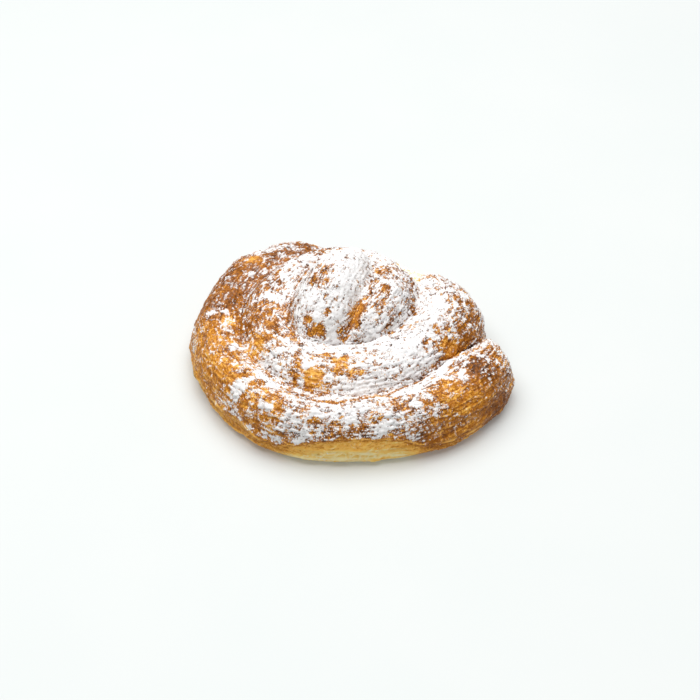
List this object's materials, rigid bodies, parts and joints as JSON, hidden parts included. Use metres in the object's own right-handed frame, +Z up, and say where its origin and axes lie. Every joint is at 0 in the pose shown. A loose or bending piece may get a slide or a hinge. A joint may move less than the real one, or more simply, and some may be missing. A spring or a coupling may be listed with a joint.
{
  "type": "ensaimada",
  "caption": "Round coiled pastry of laminated dough, a rope wound inwards to a raised heart, baked golden brown and dusted with icing sugar.",
  "frame": {"origin": "centre of the bounding box in plan, at the height of the flat base", "axes": "+Z up; the rope's free tail is on the +X side, a little towards -Y, and the coil runs inwards clockwise seen from above, with the raised heart behind the middle, towards +Y"},
  "size_m": [0.1188, 0.1074, 0.0399],
  "materials": {
    "crust": "baked pastry crust, golden to reddish brown, thin and flaky, with a faint greasy gloss",
    "icing_sugar": "fine white powder, fully matt"
  },
  "bodies": {
    "root": {"ensaimada": "crust"}
  },
  "joints": []
}
